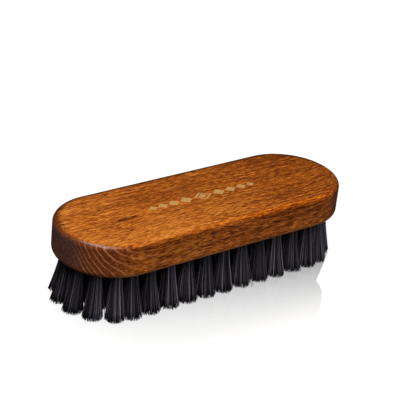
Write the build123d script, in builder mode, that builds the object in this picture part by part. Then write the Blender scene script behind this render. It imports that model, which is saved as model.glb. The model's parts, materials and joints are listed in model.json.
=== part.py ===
from build123d import *
import os
from math import cos, sin, radians, hypot

# Hand-held clothes brush.
# A solid beech block, a stadium in plan, carries bristle tufts in blind holes on its underside.
# Each tuft is a bundle folded in half over a short flat wire anchor; the anchor's ends bite
# into the wood on both sides of the hole and keep the fold at the bottom of the hole.
# Frame: origin under the middle of the brush at the plane of the bristle tips, +X along the
# length, +Z up through the block.

# ---------------------------------------------------------------- driving dimensions (mm)
length = 150.0            # block, overall
width = 51.0              # block, overall
block_thk = 16.0          # block, underside to top
trim = 21.8               # free length of the bristles below the block
top_round = 2.6           # rounding of the block's upper edge
bottom_round = 2.8        # rounding of the block's lower edge

hole_d = 5.0              # blind tuft hole
hole_depth = 11.0         # leaves 5 mm of wood above the holes
hole_tip_cone = 0.6       # height of the drill-point cone at the bottom of a hole

stem_clear = 0.03         # radial room between a tuft's stem and its hole
fold_clear = 0.25         # between the fold of the tuft and the bottom of the hole
fold_round = 1.2          # rounding of the fold
flare_cap = 4.7           # largest radius of a tuft at its trimmed end
flare_gap = 0.15          # least room between neighbouring tufts at their trimmed ends

wire_t = 0.45             # anchor: thickness of the flat wire
wire_h = 1.8              # anchor: width of the flat wire, standing along the hole
wire_bite = 0.35          # anchor: how far each end digs into the wall of the hole
wire_depth = 8.6          # anchor: depth of its middle below the mouth of the hole
wire_angle = 90.0         # anchors lie across the grain

ring_outer_r = 18.5       # outer ring of tufts: radius at the ends, offset at the sides
ring_middle_r = 9.25      # middle ring
tip_outer_r = 20.7        # the outer ring leans out to this at the trimmed ends, straight sides
tip_end_r = 21.2          # the same round the ends of the block
tip_middle_r = 10.2       # the middle ring leans out to this
pitch = 10.1              # spacing of the tufts along the length
last_outer_x = 49.9       # last tuft of each straight run, outer ring
last_centre_x = 49.7      # last tuft of the centre row
end_step = 26.67          # angle between the tufts round each end, outer ring
end_step_middle = 55.0    # angle between the tufts round each end, middle ring
end_x = (length - width) / 2      # centre of each round end

z_under = trim                    # underside of the block
z_top = trim + block_thk          # top of the block

# ---------------------------------------------------------------- tuft pattern
# Each entry is (x, y) of the hole and (x, y) of the middle of the trimmed end.
# Only x >= 0 is laid out; the other half is its mirror image.
half = []
for i in range(6):                                        # outer ring, straight sides
    x = min(pitch * i, last_outer_x)
    for s in (1, -1):
        half.append((x, s * ring_outer_r, x, s * tip_outer_r))
for i in range(-3, 3):                                    # outer ring, round end
    a = radians((i + 0.5) * end_step)
    half.append((end_x + ring_outer_r * cos(a), ring_outer_r * sin(a),
                 end_x + tip_end_r * cos(a), tip_end_r * sin(a)))
for i in range(5):                                        # middle ring, straight sides, staggered
    x = pitch * (i + 0.5)
    for s in (1, -1):
        half.append((x, s * ring_middle_r, x, s * tip_middle_r))
for i in (-1, 0, 1):                                      # middle ring, round end
    a = radians(i * end_step_middle)
    half.append((end_x + ring_middle_r * cos(a), ring_middle_r * sin(a),
                 end_x + tip_middle_r * cos(a), tip_middle_r * sin(a)))
for i in range(6):                                        # centre row
    x = min(pitch * i, last_centre_x)
    half.append((x, 0.0, x, 0.0))

tufts = []
for (x, y, tx, ty) in half:
    tufts.append((x, y, tx, ty))
    if x > 0.01:
        tufts.append((-x, y, -tx, ty))

# A tuft flares until it is a hair from its nearest neighbour, and never past the cap.
def flare(t):
    near = min(hypot(t[2] - o[2], t[3] - o[3]) for o in tufts if o != t)
    return min(flare_cap, (near - flare_gap) / 2)

# Transverse rows, from the left end to the right end. Each row is one node of tufts and one
# node of anchors. The breaks are distances from the middle of the brush.
row_breaks = [2.5, 7.5, 12.6, 17.7, 22.7, 27.8, 32.8, 37.9, 42.9, 47.6, 52.0, 57.8, 65.5]
def row_of(x):
    band = sum(1 for edge in row_breaks if abs(x) > edge)
    return band if x > 0 else -band

rows = {}
for t in sorted(tufts):
    rows.setdefault(row_of(t[0]), []).append(t)
row_keys = sorted(rows)
print("tufts", len(tufts), "rows", len(row_keys), [len(rows[k]) for k in row_keys])

os.makedirs("parts", exist_ok=True)

# ---------------------------------------------------------------- block
with BuildPart() as block:
    with BuildSketch(Plane.XY.offset(z_under)):
        SlotOverall(length, width)
    extrude(amount=block_thk)
    fillet(block.edges().group_by(Axis.Z)[-1], radius=top_round)
    fillet(block.edges().group_by(Axis.Z)[0], radius=bottom_round)
    # blind tuft holes with a drill point
    with BuildSketch(Plane.XY.offset(z_under)):
        with Locations(*[(t[0], t[1]) for t in tufts]):
            Circle(hole_d / 2)
    extrude(amount=hole_depth - hole_tip_cone, mode=Mode.SUBTRACT)
    with Locations(*[(t[0], t[1], z_under + hole_depth - hole_tip_cone) for t in tufts]):
        Cone(hole_d / 2, 0.3, hole_tip_cone,
             align=(Align.CENTER, Align.CENTER, Align.MIN), mode=Mode.SUBTRACT)
    # bites of the anchors in the walls of the holes
    with Locations(*[Location((t[0], t[1], z_under + wire_depth), (0, 0, wire_angle)) for t in tufts]):
        Box(hole_d + 2 * wire_bite, wire_t, wire_h, mode=Mode.SUBTRACT)
block.part.label = "block"
export_step(block.part, "parts/block.step")

# ---------------------------------------------------------------- tufts and their anchors
stem_r = hole_d / 2 - stem_clear
fold_z = z_under + hole_depth - hole_tip_cone - fold_clear

for number, key in enumerate(row_keys, start=1):
    row = rows[key]

    bundles = []
    for (x, y, tx, ty) in row:
        r_end = flare((x, y, tx, ty))
        with BuildPart() as tuft:
            # stem in the hole, up to the fold
            with BuildSketch(Plane((x, y, z_under))):
                Circle(stem_r)
            extrude(amount=fold_z - z_under)
            fillet(tuft.edges().group_by(Axis.Z)[-1], radius=fold_round)
            # free bristles, from the mouth of the hole to the trimmed end
            with BuildSketch(Plane((x, y, z_under))):
                Circle(stem_r)
            with BuildSketch(Plane((tx, ty, 0))):
                Circle(r_end)
            loft()
            # the anchor passes through the fold
            with Locations(Location((x, y, z_under + wire_depth), (0, 0, wire_angle))):
                Box(hole_d + 2, wire_t, wire_h, mode=Mode.SUBTRACT)
        bundles.append(tuft.part)
    with BuildPart() as tuft_row:
        add(bundles)
    tuft_row.part.label = f"tuft_row_{number:02d}"
    export_step(tuft_row.part, f"parts/tuft_row_{number:02d}.step")

    with BuildPart() as anchor_row:
        with Locations(*[Location((x, y, z_under + wire_depth), (0, 0, wire_angle))
                         for (x, y, tx, ty) in row]):
            Box(hole_d + 2 * wire_bite, wire_t, wire_h)
        # slightly broken ends, as the wire is cut
        fillet(anchor_row.edges().filter_by(Axis.Z), radius=0.08)
    anchor_row.part.label = f"anchor_row_{number:02d}"
    export_step(anchor_row.part, f"parts/anchor_row_{number:02d}.step")
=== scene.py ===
import json
import math

import bpy
import numpy as np
from mathutils import Matrix, Vector

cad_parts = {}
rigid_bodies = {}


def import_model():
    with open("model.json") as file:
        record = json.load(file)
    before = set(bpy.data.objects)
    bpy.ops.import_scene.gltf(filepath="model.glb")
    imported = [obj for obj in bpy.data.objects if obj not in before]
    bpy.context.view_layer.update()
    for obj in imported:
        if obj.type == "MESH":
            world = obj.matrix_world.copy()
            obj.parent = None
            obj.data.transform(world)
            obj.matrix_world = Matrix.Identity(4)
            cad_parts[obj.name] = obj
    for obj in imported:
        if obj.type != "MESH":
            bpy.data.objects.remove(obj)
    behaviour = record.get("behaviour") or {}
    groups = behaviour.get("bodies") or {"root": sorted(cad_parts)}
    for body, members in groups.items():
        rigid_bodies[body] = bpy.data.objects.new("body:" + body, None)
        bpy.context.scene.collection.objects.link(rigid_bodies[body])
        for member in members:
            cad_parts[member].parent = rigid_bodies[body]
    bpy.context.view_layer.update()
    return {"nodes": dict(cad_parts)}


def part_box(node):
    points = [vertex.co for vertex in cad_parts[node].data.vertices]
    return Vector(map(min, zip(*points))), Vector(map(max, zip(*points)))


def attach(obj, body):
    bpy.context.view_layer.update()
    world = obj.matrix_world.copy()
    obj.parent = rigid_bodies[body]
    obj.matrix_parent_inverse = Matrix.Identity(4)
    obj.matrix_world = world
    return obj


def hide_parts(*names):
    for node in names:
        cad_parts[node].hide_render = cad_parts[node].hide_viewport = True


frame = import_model()
scene = bpy.context.scene
MM = 0.001

# ------------------------------------------------------------------ sizes, from the frame
lo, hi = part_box("block")
LENGTH = (hi.x - lo.x) / MM
WIDTH = (hi.y - lo.y) / MM
Z_UNDER = lo.z / MM                 # underside of the block
Z_TOP = hi.z / MM
END_X = (LENGTH - WIDTH) / 2


# ------------------------------------------------------------------ node helpers
class Graph:
    """Small helpers that add shader nodes and return their output sockets."""

    def __init__(self, name):
        self.mat = bpy.data.materials.new(name)
        self.mat.use_nodes = True
        self.t = self.mat.node_tree
        self.t.nodes.clear()

    def put(self, socket, value):
        if isinstance(value, bpy.types.NodeSocket):
            self.t.links.new(value, socket)
        elif value is not None:
            socket.default_value = value

    def new(self, kind, **props):
        n = self.t.nodes.new(kind)
        for k, v in props.items():
            setattr(n, k, v)
        return n

    def math(self, op, a, b=None, c=None, clamp=False):
        n = self.new("ShaderNodeMath", operation=op, use_clamp=clamp)
        for i, v in enumerate((a, b, c)):
            self.put(n.inputs[i], v)
        return n.outputs[0]

    def add(self, a, b):
        return self.math("ADD", a, b)

    def sub(self, a, b):
        return self.math("SUBTRACT", a, b)

    def mul(self, a, b):
        return self.math("MULTIPLY", a, b)

    def step(self, value, low, high):
        """0 at low, 1 at high, smooth between."""
        n = self.new("ShaderNodeMapRange", interpolation_type="SMOOTHSTEP")
        self.put(n.inputs[0], value)
        n.inputs[1].default_value = low
        n.inputs[2].default_value = high
        return n.outputs[0]

    def span(self, value, low, high, a, b):
        n = self.new("ShaderNodeMapRange")
        self.put(n.inputs[0], value)
        n.inputs[1].default_value = low
        n.inputs[2].default_value = high
        n.inputs[3].default_value = a
        n.inputs[4].default_value = b
        return n.outputs[0]

    def scaled(self, vector, sx, sy, sz, offset=(0, 0, 0)):
        n = self.new("ShaderNodeVectorMath", operation="MULTIPLY_ADD")
        self.put(n.inputs[0], vector)
        n.inputs[1].default_value = (sx, sy, sz)
        n.inputs[2].default_value = offset
        return n.outputs[0]

    def noise(self, vector, detail=2.0, rough=0.5, distortion=0.0, scale=1.0):
        n = self.new("ShaderNodeTexNoise")
        self.put(n.inputs["Vector"], vector)
        n.inputs["Scale"].default_value = scale
        n.inputs["Detail"].default_value = detail
        n.inputs["Roughness"].default_value = rough
        n.inputs["Distortion"].default_value = distortion
        return n.outputs["Fac"]

    def mix(self, fac, a, b, blend="MIX"):
        n = self.new("ShaderNodeMix", data_type="RGBA", blend_type=blend)
        self.put(n.inputs[0], fac)
        self.put(n.inputs[6], a if isinstance(a, bpy.types.NodeSocket) else (*a, 1))
        self.put(n.inputs[7], b if isinstance(b, bpy.types.NodeSocket) else (*b, 1))
        return n.outputs[2]

    def ramp(self, fac, stops):
        n = self.new("ShaderNodeValToRGB")
        e = n.color_ramp.elements
        while len(e) < len(stops):
            e.new(0.5)
        for el, (p, col) in zip(e, stops):
            el.position = p
            el.color = (*col, 1)
        self.put(n.inputs[0], fac)
        return n.outputs[0]

    def split(self, vector):
        n = self.new("ShaderNodeSeparateXYZ")
        self.put(n.inputs[0], vector)
        return n.outputs

    def combine(self, x, y, z):
        n = self.new("ShaderNodeCombineXYZ")
        for i, v in enumerate((x, y, z)):
            self.put(n.inputs[i], v)
        return n.outputs[0]


def principled(g, **values):
    b = g.new("ShaderNodeBsdfPrincipled")
    for k, v in values.items():
        g.put(b.inputs[k.replace("_", " ")], v)
    out = g.new("ShaderNodeOutputMaterial")
    g.t.links.new(b.outputs[0], out.inputs[0])
    return b


# ------------------------------------------------------------------ stained, lacquered beech
def wood_material():
    g = Graph("stained_beech")
    co = g.new("ShaderNodeTexCoord").outputs["Object"]
    p = g.scaled(co, 1000, 1000, 1000)                      # millimetres
    normal = g.split(g.new("ShaderNodeNewGeometry").outputs["Normal"])
    nx = g.math("ABSOLUTE", normal[0])
    ny = g.math("ABSOLUTE", normal[1])
    nz = normal[2]

    # the grain wanders a little along the length
    wander_y = g.mul(g.sub(g.noise(g.scaled(p, 0.016, 0.03, 0.03), 2.0, 0.5), 0.5), 7.0)
    wander_z = g.mul(g.sub(g.noise(g.scaled(p, 0.016, 0.03, 0.03, (31, 7, 3)), 2.0, 0.5), 0.5), 6.0)
    px, py, pz = g.split(p)
    wy = g.add(py, wander_y)
    wz = g.add(pz, wander_z)
    w = g.combine(px, wy, wz)

    # growth rings: wide cylinders about a pith far below and behind, seen slanting on the ends
    ry = g.add(wy, -62.0)
    rz = g.add(wz, 20.0)
    radius = g.math("SQRT", g.add(g.mul(ry, ry), g.mul(rz, rz)))
    radius = g.add(radius, g.mul(g.noise(g.scaled(p, 0.05, 0.25, 0.25, (5, 5, 9)), 2.0, 0.5), 0.8))
    wide = g.noise(g.combine(0.0, 0.0, g.mul(radius, 0.16)), 1.0, 0.5)      # uneven ring widths
    phase = g.math("FRACT", g.add(g.mul(radius, 0.53), g.mul(wide, 1.3)))
    line = g.math("POWER", g.sub(1.0, g.math("ABSOLUTE", g.sub(g.mul(phase, 2.0), 1.0))), 1.0)
    line = g.step(line, 0.66, 0.97)                           # thin pale line at each ring
    late = g.step(phase, 0.50, 1.0)                           # a ring darkens towards its late wood

    # streaks, short ray flecks, pores and blotchy stain
    streak = g.noise(g.scaled(w, 0.022, 0.95, 0.95), 4.0, 0.62)
    fine = g.noise(g.scaled(w, 0.34, 2.5, 2.5, (3, 1, 8)), 3.0, 0.65)
    dash = g.noise(g.scaled(w, 0.24, 1.60, 1.60, (9, 4, 2)), 2.0, 0.60, 0.2)
    fleck = g.step(g.noise(g.scaled(w, 0.42, 2.0, 2.0, (17, 3, 5)), 1.0, 0.5), 0.585, 0.68)
    blotch = g.noise(g.scaled(p, 0.022, 0.060, 0.060, (2, 9, 4)), 3.0, 0.55)

    side = g.step(g.math("ABSOLUTE", nz), 0.75, 0.25)
    grainy = g.add(g.mul(g.sub(fine, 0.5), 1.90), g.mul(g.sub(dash, 0.5), 1.45))
    tone = g.add(g.mul(g.sub(streak, 0.5), 1.10), 0.45)
    tone = g.add(tone, g.mul(grainy, g.add(g.mul(side, 0.35), 1.0)))
    tone = g.add(tone, g.mul(g.sub(blotch, 0.5), 0.45))
    tone = g.sub(tone, g.mul(late, 0.06))
    tone = g.add(tone, g.mul(line, 0.05))
    # the top is painted darker towards its far right corner: painted shade where the light falls off
    falloff_shade = g.span(g.add(px, g.mul(py, 1.6)), -110.0, 110.0, -0.18, 0.24)
    tone = g.sub(tone, g.mul(falloff_shade, g.sub(1.0, side)))
    colour = g.ramp(tone, [
        (0.05, (0.080, 0.016, 0.0018)),
        (0.30, (0.190, 0.043, 0.0040)),
        (0.50, (0.310, 0.083, 0.0080)),
        (0.70, (0.430, 0.132, 0.0160)),
        (0.95, (0.560, 0.210, 0.0400)),
    ])
    colour = g.mix(g.mul(fleck, 0.58), colour, (0.110, 0.022, 0.0025))

    # one short dark resin-like streak along the grain
    sx = g.math("DIVIDE", g.add(px, 43.5), 7.2)
    sy = g.add(g.add(py, 3.25), g.mul(g.sub(fine, 0.5), 3.0))
    crack = g.math("MULTIPLY", g.step(g.math("ABSOLUTE", sy), 1.35, 0.60),
                   g.step(g.math("ABSOLUTE", sx), 1.0, 0.45))
    colour = g.mix(g.mul(g.mul(crack, 0.90), g.step(nz, 0.9, 0.99)), colour, (0.060, 0.010, 0.0015))

    # the sides are painted a little darker than the top: painted shade
    colour = g.mix(g.mul(side, 0.75), colour, g.mix(1.0, colour, (0.66, 0.57, 0.60), "MULTIPLY"))

    # the rounded long edges are a deeper orange
    edge = g.mul(g.mul(g.step(nz, 0.12, 0.55), g.step(nz, 0.995, 0.86)), g.step(nx, 0.75, 0.25))
    colour = g.mix(g.mul(edge, 0.70), colour, g.mix(1.0, colour, (0.76, 0.64, 0.38), "MULTIPLY"))
    # and towards the right end they are painted paler: a painted sheen
    pale_sheen_edge = g.mul(g.mul(g.step(nz, 0.10, 0.45), g.step(nz, 0.992, 0.90)),
                      g.mul(g.step(nx, 0.75, 0.25), g.step(px, -25.0, 32.0)))
    colour = g.mix(pale_sheen_edge, colour, g.mix(1.0, colour, (1.55, 1.48, 0.95), "MULTIPLY"))
    # the far long side and its rounded edge are painted much darker: painted shade
    far_side_shade = g.mul(g.step(normal[1], 0.08, 0.55), g.step(nz, -0.3, 0.2))
    colour = g.mix(g.mul(far_side_shade, 0.90), colour, g.mix(1.0, colour, (0.22, 0.17, 0.16), "MULTIPLY"))
    # the back rim of the top is painted darker too: painted shade
    qx = g.math("MAXIMUM", g.sub(g.math("ABSOLUTE", px), END_X), 0.0)
    inside = g.sub(WIDTH / 2, g.math("SQRT", g.add(g.mul(qx, qx), g.mul(py, py))))
    back_rim_shade = g.mul(g.mul(g.step(inside, 4.6, 1.8), g.step(py, -4.0, 8.0)), g.step(nz, 0.2, 0.6))
    colour = g.mix(g.mul(back_rim_shade, 0.95), colour, g.mix(1.0, colour, (0.27, 0.26, 0.34), "MULTIPLY"))
    # just under the rounded upper edge the side is painted darkest: painted shade
    under_edge_shade = g.mul(g.step(nz, 0.80, 0.45), g.step(pz, Z_TOP - 7.0, Z_TOP - 2.2))
    colour = g.mix(g.mul(under_edge_shade, 0.80), colour, g.mix(1.0, colour, (0.74, 0.66, 0.42), "MULTIPLY"))
    # towards the bottom the side is painted lighter: painted light
    base = g.mul(side, g.step(pz, Z_UNDER + 8.0, Z_UNDER + 2.0))
    colour = g.mix(base, colour, g.mix(1.0, colour, (1.16, 1.18, 1.20), "MULTIPLY"))
    # the rounded lower long edges are painted a lighter orange: a painted highlight
    low = g.mul(g.step(nz, -0.10, -0.55), g.step(nx, 0.85, 0.40))
    colour = g.mix(g.mul(low, 0.50), colour, (0.36, 0.145, 0.050))

    # end grain drinks the stain: dark purplish brown, with pale ring lines
    grain = g.add(g.mul(fine, 0.6), g.mul(streak, 0.4))
    down = g.step(nz, 0.985, 0.84)
    end = g.mul(g.step(nx, 0.05, 0.62), down)
    end_warm = g.ramp(grain, [
        (0.28, (0.038, 0.0080, 0.0020)),
        (0.52, (0.090, 0.0210, 0.0056)),
        (0.76, (0.170, 0.0460, 0.0140)),
    ])
    end_dark = g.ramp(grain, [
        (0.30, (0.018, 0.0072, 0.0052)),
        (0.52, (0.053, 0.0235, 0.0180)),
        (0.74, (0.140, 0.0720, 0.0580)),
    ])
    colour = g.mix(g.mul(end, 0.88), colour, end_warm)
    colour = g.mix(g.mul(g.mul(g.step(nx, 0.76, 0.985), down), 0.88), colour, end_dark)
    line_there = g.mul(g.mul(g.mul(line, g.step(g.math("ABSOLUTE", nz), 0.85, 0.45)),
                             g.span(nx, 0.0, 0.6, 0.30, 0.85)), g.span(ny, 0.24, 0.55, 0.08, 1.0))
    line_there = g.mul(line_there, g.span(g.noise(g.scaled(p, 0.30, 0.30, 0.16, (6, 2, 4)), 2.0, 0.5), 0.35, 0.60, 0.45, 1.0))
    colour = g.mix(line_there, colour, (0.360, 0.130, 0.050))

    # printed ornament along the middle of the top: a chain of lozenges in pale gold, the largest
    # and only open one at the centre
    ax = g.math("ABSOLUTE", px)
    ay = g.math("ABSOLUTE", py)

    def lozenge(cx, half_w, half_h):
        d = g.add(g.mul(g.math("ABSOLUTE", g.sub(ax, cx)), half_h / half_w), ay)
        return g.step(g.sub(d, half_h), 0.13, -0.13)

    mark = g.add(g.sub(lozenge(0.0, 5.2, 3.5), lozenge(0.0, 3.6, 2.42)), lozenge(0.0, 2.3, 1.55))
    for cx, half_w, half_h in ((9.3, 3.4, 2.75), (16.0, 3.1, 2.50), (22.1, 2.8, 2.25), (27.5, 2.3, 1.85)):
        mark = g.math("MAXIMUM", mark, lozenge(cx, half_w, half_h))
    worn = g.noise(g.scaled(p, 0.9, 2.4, 2.4, (8, 8, 8)), 3.0, 0.6)
    mark = g.mul(g.mul(mark, g.step(nz, 0.9, 0.99)), g.span(worn, 0.35, 0.65, 0.72, 0.95))
    print_colour = g.ramp(worn, [(0.3, (0.34, 0.175, 0.048)), (0.7, (0.51, 0.305, 0.108))])
    colour = g.mix(mark, colour, print_colour)

    rough = g.span(g.add(g.mul(fine, 0.5), g.mul(dash, 0.5)), 0.3, 0.7, 0.50, 0.36)
    height = g.add(g.mul(fine, 0.5), g.add(g.mul(dash, 0.35), g.mul(fleck, -0.4)))
    bump = g.new("ShaderNodeBump")
    bump.inputs["Strength"].default_value = 0.35
    bump.inputs["Distance"].default_value = 0.00006
    g.put(bump.inputs["Height"], height)
    b = principled(g, Base_Color=colour, Roughness=rough, Normal=bump.outputs[0])
    b.inputs["Specular IOR Level"].default_value = 0.10
    b.inputs["Coat Weight"].default_value = 0.32
    b.inputs["Coat Roughness"].default_value = 0.20
    b.inputs["Coat IOR"].default_value = 1.5
    return g.mat


# ------------------------------------------------------------------ bristle and wire
def bristle_material():
    g = Graph("dark_bristle")
    uv = g.new("ShaderNodeUVMap", uv_map="OFBake").outputs[0]
    u, v, _ = g.split(uv)
    colour = g.ramp(u, [
        (0.00, (0.0025, 0.0023, 0.0032)),
        (0.32, (0.0110, 0.0100, 0.0130)),
        (0.62, (0.0580, 0.0525, 0.0670)),
        (0.93, (0.1850, 0.1680, 0.2020)),
        (1.00, (0.1600, 0.1500, 0.1450)),
    ])
    # paler and drier towards the cut tip
    colour = g.mix(g.mul(g.step(v, 0.90, 1.0), 0.15), colour, (0.050, 0.044, 0.050))
    # and painted darker towards the root: painted shade under the block
    root = g.span(v, 0.44, 0.70, 0.62, 0.0)
    colour = g.mix(root, colour, (0.0020, 0.0018, 0.0020))
    rough = g.span(u, 0.0, 1.0, 0.32, 0.42)
    b = principled(g, Base_Color=colour, Roughness=rough)
    b.inputs["Specular IOR Level"].default_value = 0.5
    return g.mat


def wire_material():
    g = Graph("anchor_wire")
    co = g.new("ShaderNodeTexCoord").outputs["Object"]
    p = g.scaled(co, 1000, 1000, 1000)
    drawn = g.noise(g.scaled(p, 9.0, 0.6, 14.0), 3.0, 0.6)       # drawing marks along the wire
    dull = g.noise(g.scaled(p, 1.2, 1.2, 1.2), 2.0, 0.5)
    colour = g.ramp(g.add(g.mul(drawn, 0.6), g.mul(dull, 0.4)),
                    [(0.3, (0.36, 0.35, 0.34)), (0.6, (0.56, 0.56, 0.57)), (0.8, (0.68, 0.68, 0.69))])
    rough = g.span(drawn, 0.3, 0.7, 0.28, 0.48)
    b = principled(g, Base_Color=colour, Roughness=rough)
    b.inputs["Metallic"].default_value = 1.0
    return g.mat


WOOD = wood_material()
BRISTLE = bristle_material()
WIRE = wire_material()


def dress(node, material):
    o = frame["nodes"][node]
    o.data.materials.clear()
    o.data.materials.append(material)


dress("block", WOOD)
for name in frame["nodes"]:
    if name.startswith("anchor_row_"):
        dress(name, WIRE)

# ------------------------------------------------------------------ tufts, bristle by bristle
# The tuft pattern, in millimetres: hole (x, y), middle of the cut end (x, y).
OUTER, MIDDLE = 18.5, 9.25
TIP_OUTER, TIP_END, TIP_MIDDLE = 20.7, 21.2, 10.2
PITCH, LAST_OUTER, LAST_CENTRE = 10.1, 49.9, 49.7
half = []
for i in range(6):
    x = min(PITCH * i, LAST_OUTER)
    for s in (1, -1):
        half.append((x, s * OUTER, x, s * TIP_OUTER, 0))
for i in range(-3, 3):
    a = math.radians((i + 0.5) * 26.67)
    c, s = math.cos(a), math.sin(a)
    half.append((END_X + OUTER * c, OUTER * s, END_X + TIP_END * c, TIP_END * s, 1))
for i in range(5):
    x = PITCH * (i + 0.5)
    for s in (1, -1):
        half.append((x, s * MIDDLE, x, s * TIP_MIDDLE, 2))
for i in (-1, 0, 1):
    a = math.radians(i * 55.0)
    c, s = math.cos(a), math.sin(a)
    half.append((END_X + MIDDLE * c, MIDDLE * s, END_X + TIP_MIDDLE * c, TIP_MIDDLE * s, 2))
for i in range(6):
    x = min(PITCH * i, LAST_CENTRE)
    half.append((x, 0.0, x, 0.0, 2))
TUFTS = []
for t in half:
    TUFTS.append(t)
    if t[0] > 0.01:
        TUFTS.append((-t[0], t[1], -t[2], t[3], t[4]))
# the tufts round the right end stand a little straighter
TUFTS = [(x, y, tx - (1.3 * (tx - END_X) / TIP_END if kind == 1 and tx > END_X else 0.0), ty, kind)
         for x, y, tx, ty, kind in TUFTS]
TUFTS.sort()
BREAKS = [2.5, 7.5, 12.6, 17.7, 22.7, 27.8, 32.8, 37.9, 42.9, 47.6, 52.0, 57.8, 65.5]
ROWS = {}
for t in TUFTS:
    band = sum(1 for b in BREAKS if abs(t[0]) > b)
    ROWS.setdefault(band if t[0] > 0 else -band, []).append(t)

STEM_R = 2.28            # bristles' centres stay inside this at the mouth of the hole
WIRE_HALF = 0.225        # half the anchor's thickness
WIRE_TOP = Z_UNDER + 8.6 + 0.9
FOLD_TOP = Z_UNDER + 10.15
LOCK = 0.44              # spacing of the locks in the mouth of the hole
SIDES = 3
GAP = 0.248              # spacing of the bristles where the hole holds them tight


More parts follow.
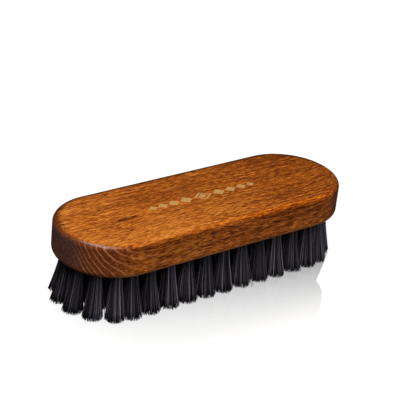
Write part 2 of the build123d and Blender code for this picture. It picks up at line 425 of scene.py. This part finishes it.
def tuft_strands(rng, t):
    """Folded bristles of one tuft: an array (bristle, point, xyz) in millimetres, the radius at each point and a tone."""
    x, y, tx, ty, kind = t
    # each bristle is folded over the anchor, so it has one leg on each side; the legs stand
    # close packed in the mouth of the hole
    gx, gy = np.meshgrid(np.arange(0, 11) * GAP + GAP / 2, np.arange(-12, 13) * GAP * 0.866, indexing="ij")
    gx = gx + (np.arange(-12, 13) % 2)[None, :] * GAP / 2
    qx, qy = gx.ravel(), gy.ravel()
    keep = np.hypot(qx, qy) < STEM_R
    qx, qy = qx[keep], qy[keep]
    n = len(qx)
    turn = rng.uniform(-0.12, 0.12)
    # neighbouring bristles cling together in small locks, which share a tone and a length
    hx, hy = np.meshgrid(np.arange(0, 7) * LOCK, np.arange(-7, 8) * LOCK * 0.866, indexing="ij")
    hx = (hx + (np.arange(-7, 8) % 2)[None, :] * LOCK / 2 + rng.normal(0, 0.07, hx.shape)).ravel()
    hy = (hy + rng.normal(0, 0.07, hy.shape)).ravel()
    near = np.argmin((qx[:, None] - hx[None, :]) ** 2 + (qy[:, None] - hy[None, :]) ** 2, axis=1)
    cling = rng.uniform(0.15, 0.50, len(hx))[near]
    lock_tone = rng.beta(0.85, 1.25, len(hx))[near]
    lock_z = (rng.uniform(0, 1, len(hx)) ** 2 * 0.22)[near]
    legs = []
    for sign in (-1, 1):
        mx = sign * np.clip(qx + rng.normal(0, 0.045, n), 0.12, STEM_R - 0.02)
        my = qy + rng.normal(0, 0.045, n) + sign * turn
        r = np.hypot(mx, my)
        cap = np.minimum(1.0, STEM_R / np.maximum(r, 1e-6))
        mx, my = mx * cap, my * cap
        # flare towards the cut end
        k = {0: 2.14, 1: 2.02, 2: 2.00}[kind]
        rr = np.hypot(mx, my) / STEM_R
        swell = k * (0.90 + 0.10 * rr)
        fx = mx * swell
        fy = my * swell
        lx = sign * np.clip(hx[near], 0.12, STEM_R) * swell
        ly = (hy[near] + sign * turn) * swell
        fx = fx + (lx - fx) * cling + rng.normal(0, 0.10, n)
        fy = fy + (ly - fy) * cling + rng.normal(0, 0.10, n)
        wild = (rng.uniform(0, 1, n) < 0.020)
        fx = fx + wild * rng.normal(0, 0.9, n)
        fy = fy + wild * rng.normal(0, 0.9, n)
        tipx = tx - x + fx
        tipy = ty - y + fy
        short = rng.uniform(0, 1, n)
        tipz = 0.04 + lock_z + 0.15 * rng.uniform(0, 1, n) ** 1.5 \
            + np.where(short < 0.06, rng.uniform(0.2, 0.9, n), 0) \
            + np.where(short > 0.993, rng.uniform(1.0, 4.0, n), 0)
        tipz = tipz + 0.15 * rr ** 3
        bow = rng.normal(0, 0.045, (n, 2)) + rng.normal(0, 0.07, (len(hx), 2))[near]
        legs.append((mx, my, tipx, tipy, tipz, bow))
    pts = []
    T = np.array([1.0, 0.82, 0.62, 0.42, 0.22, 0.0])

    def free(leg, ts):
        mx, my, tipx, tipy, tipz, bow = leg
        rows = []
        for s in ts:
            gshape = s ** 1.22
            bend = math.sin(math.pi * s) * (1.0 - 0.35 * s)
            rows.append(np.stack([mx + (tipx - mx) * gshape + bow[:, 0] * bend,
                                  my + (tipy - my) * gshape + bow[:, 1] * bend,
                                  Z_UNDER + (tipz - Z_UNDER) * s], 1))
        return rows

    a, b = legs
    pts += free(a, T)
    room = WIRE_HALF + 0.12

    def at_wire(leg, sign, z):
        ox = sign * (room + np.abs(leg[0]) * (STEM_R + 0.02 - room) / STEM_R)
        oy = leg[1] * 0.98
        r = np.hypot(ox, oy)
        lim = STEM_R + 0.02
        oy = np.where(r > lim, np.sign(oy) * np.sqrt(np.maximum(lim ** 2 - ox ** 2, 0)), oy)
        return np.stack([ox, oy, np.full(n, z)], 1)

    wa, wb = at_wire(a, -1, WIRE_TOP - 1.5), at_wire(b, 1, WIRE_TOP - 1.5)
    pts.append(wa)
    wa2 = wa.copy(); wa2[:, 2] = WIRE_TOP + 0.02
    wb2 = wb.copy(); wb2[:, 2] = WIRE_TOP + 0.02
    pts.append(wa2)
    rise = 0.15 + (FOLD_TOP - WIRE_TOP - 0.24) * np.clip((np.abs(wa[:, 0]) + np.abs(wb[:, 0])) / 4.7, 0, 1) \
        * np.sqrt(np.clip(1 - (qy / 2.5) ** 2, 0.05, 1))
    for ph in (0.25, 0.5, 0.75):
        m = wa2 * (1 + math.cos(math.pi * ph)) / 2 + wb2 * (1 - math.cos(math.pi * ph)) / 2
        m = m.copy()
        m[:, 2] = WIRE_TOP + 0.02 + rise * math.sin(math.pi * ph)
        pts.append(m)
    pts.append(wb2)
    pts.append(wb)
    pts += free(b, T[::-1])
    P = np.stack(pts, 1)
    P[:, :, 0] += x
    P[:, :, 1] += y
    rb = rng.uniform(0.112, 0.146, n)[:, None]
    taper = np.concatenate([[1.24, 1.20, 1.08], np.ones(P.shape[1] - 6), [1.08, 1.20, 1.24]])[None, :]
    tone = np.clip(0.40 * lock_tone + 0.74 * rng.beta(0.55, 1.25, n), 0, 0.95)
    if kind == 2:
        tone = tone * 0.66           # the inner tufts are painted darker: painted shade behind the outer tufts
    tone = np.where(rng.uniform(0, 1, n) < 0.004, 0.985, tone)
    return P, rb * taper, tone


def strand_mesh(name, groups):
    """One mesh of closed three-sided strands, with a UV map that holds each strand's tone and the place along it."""
    V, F, UV = [], [], []
    base = 0
    for P, R, tone in groups:
        n, m, _ = P.shape
        d = np.empty_like(P)
        d[:, 1:-1] = P[:, 2:] - P[:, :-2]
        d[:, 0] = P[:, 1] - P[:, 0]
        d[:, -1] = P[:, -1] - P[:, -2]
        d /= np.linalg.norm(d, axis=2, keepdims=True)
        ref = np.zeros((n, 1, 3)); ref[:, 0, 1] = 1.0
        e1 = ref - (ref * d).sum(2, keepdims=True) * d
        e1 /= np.linalg.norm(e1, axis=2, keepdims=True)
        e2 = np.cross(d, e1)
        ring = []
        for k in range(SIDES):
            a = 2 * math.pi * k / SIDES
            ring.append(P + (e1 * math.cos(a) + e2 * math.sin(a)) * R[:, :, None])
        ring = np.stack(ring, 2)                                 # n, m, sides, 3
        V.append(ring.reshape(-1, 3))
        idx = np.arange(n * m * SIDES).reshape(n, m, SIDES) + base
        a = idx[:, :-1]
        b = idx[:, 1:]
        an = np.roll(a, -1, 2)
        bn = np.roll(b, -1, 2)
        quads = np.stack([a, an, bn, b], 3).reshape(-1, 4)
        along = np.abs(np.linspace(-1, 1, m))                     # 0 at the fold, 1 at each tip
        vv = np.broadcast_to(along[None, :, None], (n, m, SIDES))
        uu = np.broadcast_to(tone[:, None, None], (n, m, SIDES))
        F.append((quads, idx[:, 0][:, ::-1], idx[:, -1]))
        UV.append(np.stack([uu, vv], 3).reshape(-1, 2))
        base += n * m * SIDES
    verts = np.concatenate(V) * MM
    uvv = np.concatenate(UV)
    quads = np.concatenate([f[0] for f in F])
    caps = np.concatenate([c for f in F for c in f[1:]])
    me = bpy.data.meshes.new(name)
    me.vertices.add(len(verts))
    me.vertices.foreach_set("co", verts.astype(np.float32).ravel())
    loops = np.concatenate([quads.ravel(), caps.ravel()]).astype(np.int32)
    starts = np.concatenate([np.arange(len(quads)) * 4,
                             len(quads) * 4 + np.arange(len(caps)) * SIDES]).astype(np.int32)
    me.loops.add(len(loops))
    me.loops.foreach_set("vertex_index", loops)
    me.polygons.add(len(starts))
    me.polygons.foreach_set("loop_start", starts)
    layer = me.uv_layers.new(name="OFBake")
    luv = uvv[loops].copy()
    # each side of a strand takes its own narrow strip of its tone, so that no face is a line in the map
    luv[:, 0] = luv[:, 0] * 0.96 + 0.02
    side = (loops % SIDES) * 0.004
    luv[:, 0] += side
    luv[:, 1] = luv[:, 1] * 0.96 + 0.02
    layer.data.foreach_set("uv", luv.astype(np.float32).ravel())
    me.update(calc_edges=True)
    me.validate()
    me.polygons.foreach_set("use_smooth", np.ones(len(me.polygons), bool))
    me.materials.append(BRISTLE)
    o = bpy.data.objects.new(name, me)
    scene.collection.objects.link(o)
    return o


for number, key in enumerate(sorted(ROWS), start=1):
    rng = np.random.default_rng(4100 + number)
    groups = []
    for t in ROWS[key]:
        groups.append(tuft_strands(rng, t))
    o = strand_mesh(f"bristles_row_{number:02d}", groups)
    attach(o, "root")
    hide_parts(f"tuft_row_{number:02d}")

# ------------------------------------------------------------------ floor
def floor_material():
    g = Graph("white_floor")
    co = g.new("ShaderNodeTexCoord").outputs["Object"]
    x, y, _ = g.split(co)
    # distance outside the brush's own outline, in metres
    ox = g.math("MAXIMUM", g.sub(g.math("ABSOLUTE", x), END_X * MM), 0.0)
    away = g.sub(g.math("SQRT", g.add(g.mul(ox, ox), g.mul(y, y))), WIDTH / 2 * MM)
    near = g.span(x, -0.075, 0.075, 0.16, 0.70)
    gloss = g.add(g.mul(near, g.step(away, 0.055, -0.010)), 0.02)
    ripple = g.new("ShaderNodeBump")
    ripple.inputs["Strength"].default_value = 0.012
    ripple.inputs["Distance"].default_value = 0.0002
    g.put(ripple.inputs["Height"], g.noise(g.scaled(co, 2500, 2500, 2500), 2.0, 0.6))
    mirror = g.new("ShaderNodeBsdfGlossy")
    mirror.inputs["Roughness"].default_value = 0.0
    g.t.links.new(ripple.outputs[0], mirror.inputs["Normal"])
    matte = g.new("ShaderNodeBsdfDiffuse")
    matte.inputs["Color"].default_value = (0.86, 0.86, 0.86, 1)
    lit = g.new("ShaderNodeEmission")
    lit.inputs["Color"].default_value = (1, 1, 1, 1)
    lit.inputs["Strength"].default_value = 1.16
    body = g.new("ShaderNodeMixShader")
    body.inputs[0].default_value = 0.14
    g.t.links.new(lit.outputs[0], body.inputs[1])
    g.t.links.new(matte.outputs[0], body.inputs[2])
    top = g.new("ShaderNodeMixShader")
    g.put(top.inputs[0], gloss)
    g.t.links.new(body.outputs[0], top.inputs[1])
    g.t.links.new(mirror.outputs[0], top.inputs[2])
    # to every other ray the floor is a plain matte pale grey
    path = g.new("ShaderNodeLightPath")
    plain = g.new("ShaderNodeBsdfDiffuse")
    grey = g.span(path.outputs["Is Glossy Ray"], 0.0, 1.0, 0.10, 0.025)
    g.put(plain.inputs["Color"], g.combine(grey, grey, grey))
    pick = g.new("ShaderNodeMixShader")
    g.put(pick.inputs[0], path.outputs["Is Camera Ray"])
    g.t.links.new(plain.outputs[0], pick.inputs[1])
    g.t.links.new(top.outputs[0], pick.inputs[2])
    out = g.new("ShaderNodeOutputMaterial")
    g.t.links.new(pick.outputs[0], out.inputs[0])
    return g.mat


ring = 96
fm = bpy.data.meshes.new("floor")
fm.from_pydata([(6 * math.cos(2 * math.pi * i / ring), 6 * math.sin(2 * math.pi * i / ring), -0.00015)
                for i in range(ring)], [], [list(range(ring))])
floor = bpy.data.objects.new("floor", fm)
scene.collection.objects.link(floor)
fm.materials.append(floor_material())

# ------------------------------------------------------------------ light
world = bpy.data.worlds.new("studio")
scene.world = world
world.use_nodes = True
wt = world.node_tree
wt.nodes.clear()
bright = wt.nodes.new("ShaderNodeBackground")
bright.inputs[0].default_value = (1, 1, 1, 1)
bright.inputs[1].default_value = 1.20
dim = wt.nodes.new("ShaderNodeBackground")
dim.inputs[0].default_value = (1, 0.98, 0.96, 1)
dim.inputs[1].default_value = 0.07
dark = wt.nodes.new("ShaderNodeBackground")
dark.inputs[0].default_value = (1, 1, 1, 1)
dark.inputs[1].default_value = 0.015
lp = wt.nodes.new("ShaderNodeLightPath")
either = wt.nodes.new("ShaderNodeMath")
either.operation = "MAXIMUM"
wt.links.new(lp.outputs["Is Camera Ray"], either.inputs[0])
wt.links.new(lp.outputs["Is Singular Ray"], either.inputs[1])
soft = wt.nodes.new("ShaderNodeMixShader")
wt.links.new(lp.outputs["Is Glossy Ray"], soft.inputs[0])
wt.links.new(dim.outputs[0], soft.inputs[1])
wt.links.new(dark.outputs[0], soft.inputs[2])
pick = wt.nodes.new("ShaderNodeMixShader")
wt.links.new(either.outputs[0], pick.inputs[0])
wt.links.new(soft.outputs[0], pick.inputs[1])
wt.links.new(bright.outputs[0], pick.inputs[2])
wo = wt.nodes.new("ShaderNodeOutputWorld")
wt.links.new(pick.outputs[0], wo.inputs[0])


def softbox(name, at, towards, size_x, size_y, watts, colour=(1, 1, 1), spin=0.0):
    light = bpy.data.lights.new(name, "AREA")
    light.shape = "RECTANGLE"
    light.size = size_x
    light.size_y = size_y
    light.energy = watts
    light.color = colour
    o = bpy.data.objects.new(name, light)
    scene.collection.objects.link(o)
    z = (Vector(at) - Vector(towards)).normalized()
    q = z.to_track_quat("Z", "Y")
    o.matrix_world = Matrix.Translation(at) @ q.to_matrix().to_4x4() @ Matrix.Rotation(spin, 4, "Z")
    return o


softbox("key", (-0.27, -0.13, 0.50), (-0.03, 0.0, 0.03), 0.60, 0.26, 5.35, (1, 0.97, 0.94), spin=math.radians(-35))
fill = softbox("front_fill", (0.30, -0.72, 0.26), (0.0, 0.0, 0.02), 0.40, 0.34, 2.6)
fill.visible_glossy = False
back = softbox("back_fill", (0.25, 0.78, 0.24), (0.0, 0.0, 0.02), 0.60, 0.36, 2.4)
back.visible_glossy = False
hair = softbox("bristle_light", (0.05, -0.79, 0.20), (0.0, 0.0, 0.01), 0.30, 0.22, 2.4)
hair_back = softbox("bristle_light_back", (-0.10, 0.79, 0.20), (0.0, 0.0, 0.01), 0.30, 0.22, 2.0)
hair_end = softbox("bristle_light_end", (0.78, 0.06, 0.20), (0.0, 0.0, 0.01), 0.26, 0.22, 1.7)
receivers = bpy.data.collections.new("bristles")
for o in scene.objects:
    if o.name.startswith("bristles_row_"):
        receivers.objects.link(o)
hair.light_linking.receiver_collection = receivers
hair_back.light_linking.receiver_collection = receivers
hair_end.light_linking.receiver_collection = receivers

# ------------------------------------------------------------------ camera
def camera():
    az, el, roll = map(math.radians, (-39.775, 27.544, 6.151))
    dist, focal, u0, v0 = 0.6408, 1401.59, 199.357, 226.935
    back = Vector((math.sin(az) * math.cos(el), -math.cos(az) * math.cos(el), math.sin(el)))
    right = Vector((0, 0, 1)).cross(back).normalized()
    up = back.cross(right)
    R = Matrix((right, up, back))
    c, s = math.cos(roll), math.sin(roll)
    R = Matrix(((c, s, 0), (-s, c, 0), (0, 0, 1))) @ R
    ray = Vector(((u0 - 200) / focal, -(v0 - 200) / focal, -1)).normalized()
    ahead = Vector((0, 0, -1))
    R = ahead.rotation_difference(ray).to_matrix() @ R
    target = Vector((0, 0, Z_UNDER * MM))
    inv = R.transposed()
    where = target - inv @ (ray * dist)
    data = bpy.data.cameras.new("camera")
    data.sensor_width = 36
    data.lens = focal * 36 / 400
    data.clip_start = 0.01
    data.clip_end = 50
    o = bpy.data.objects.new("camera", data)
    scene.collection.objects.link(o)
    o.matrix_world = Matrix.Translation(where) @ inv.to_4x4()
    scene.camera = o


camera()
scene.view_settings.view_transform = "Standard"
scene.view_settings.look = "None"
scene.view_settings.exposure = 0.0
scene.view_settings.gamma = 1.0
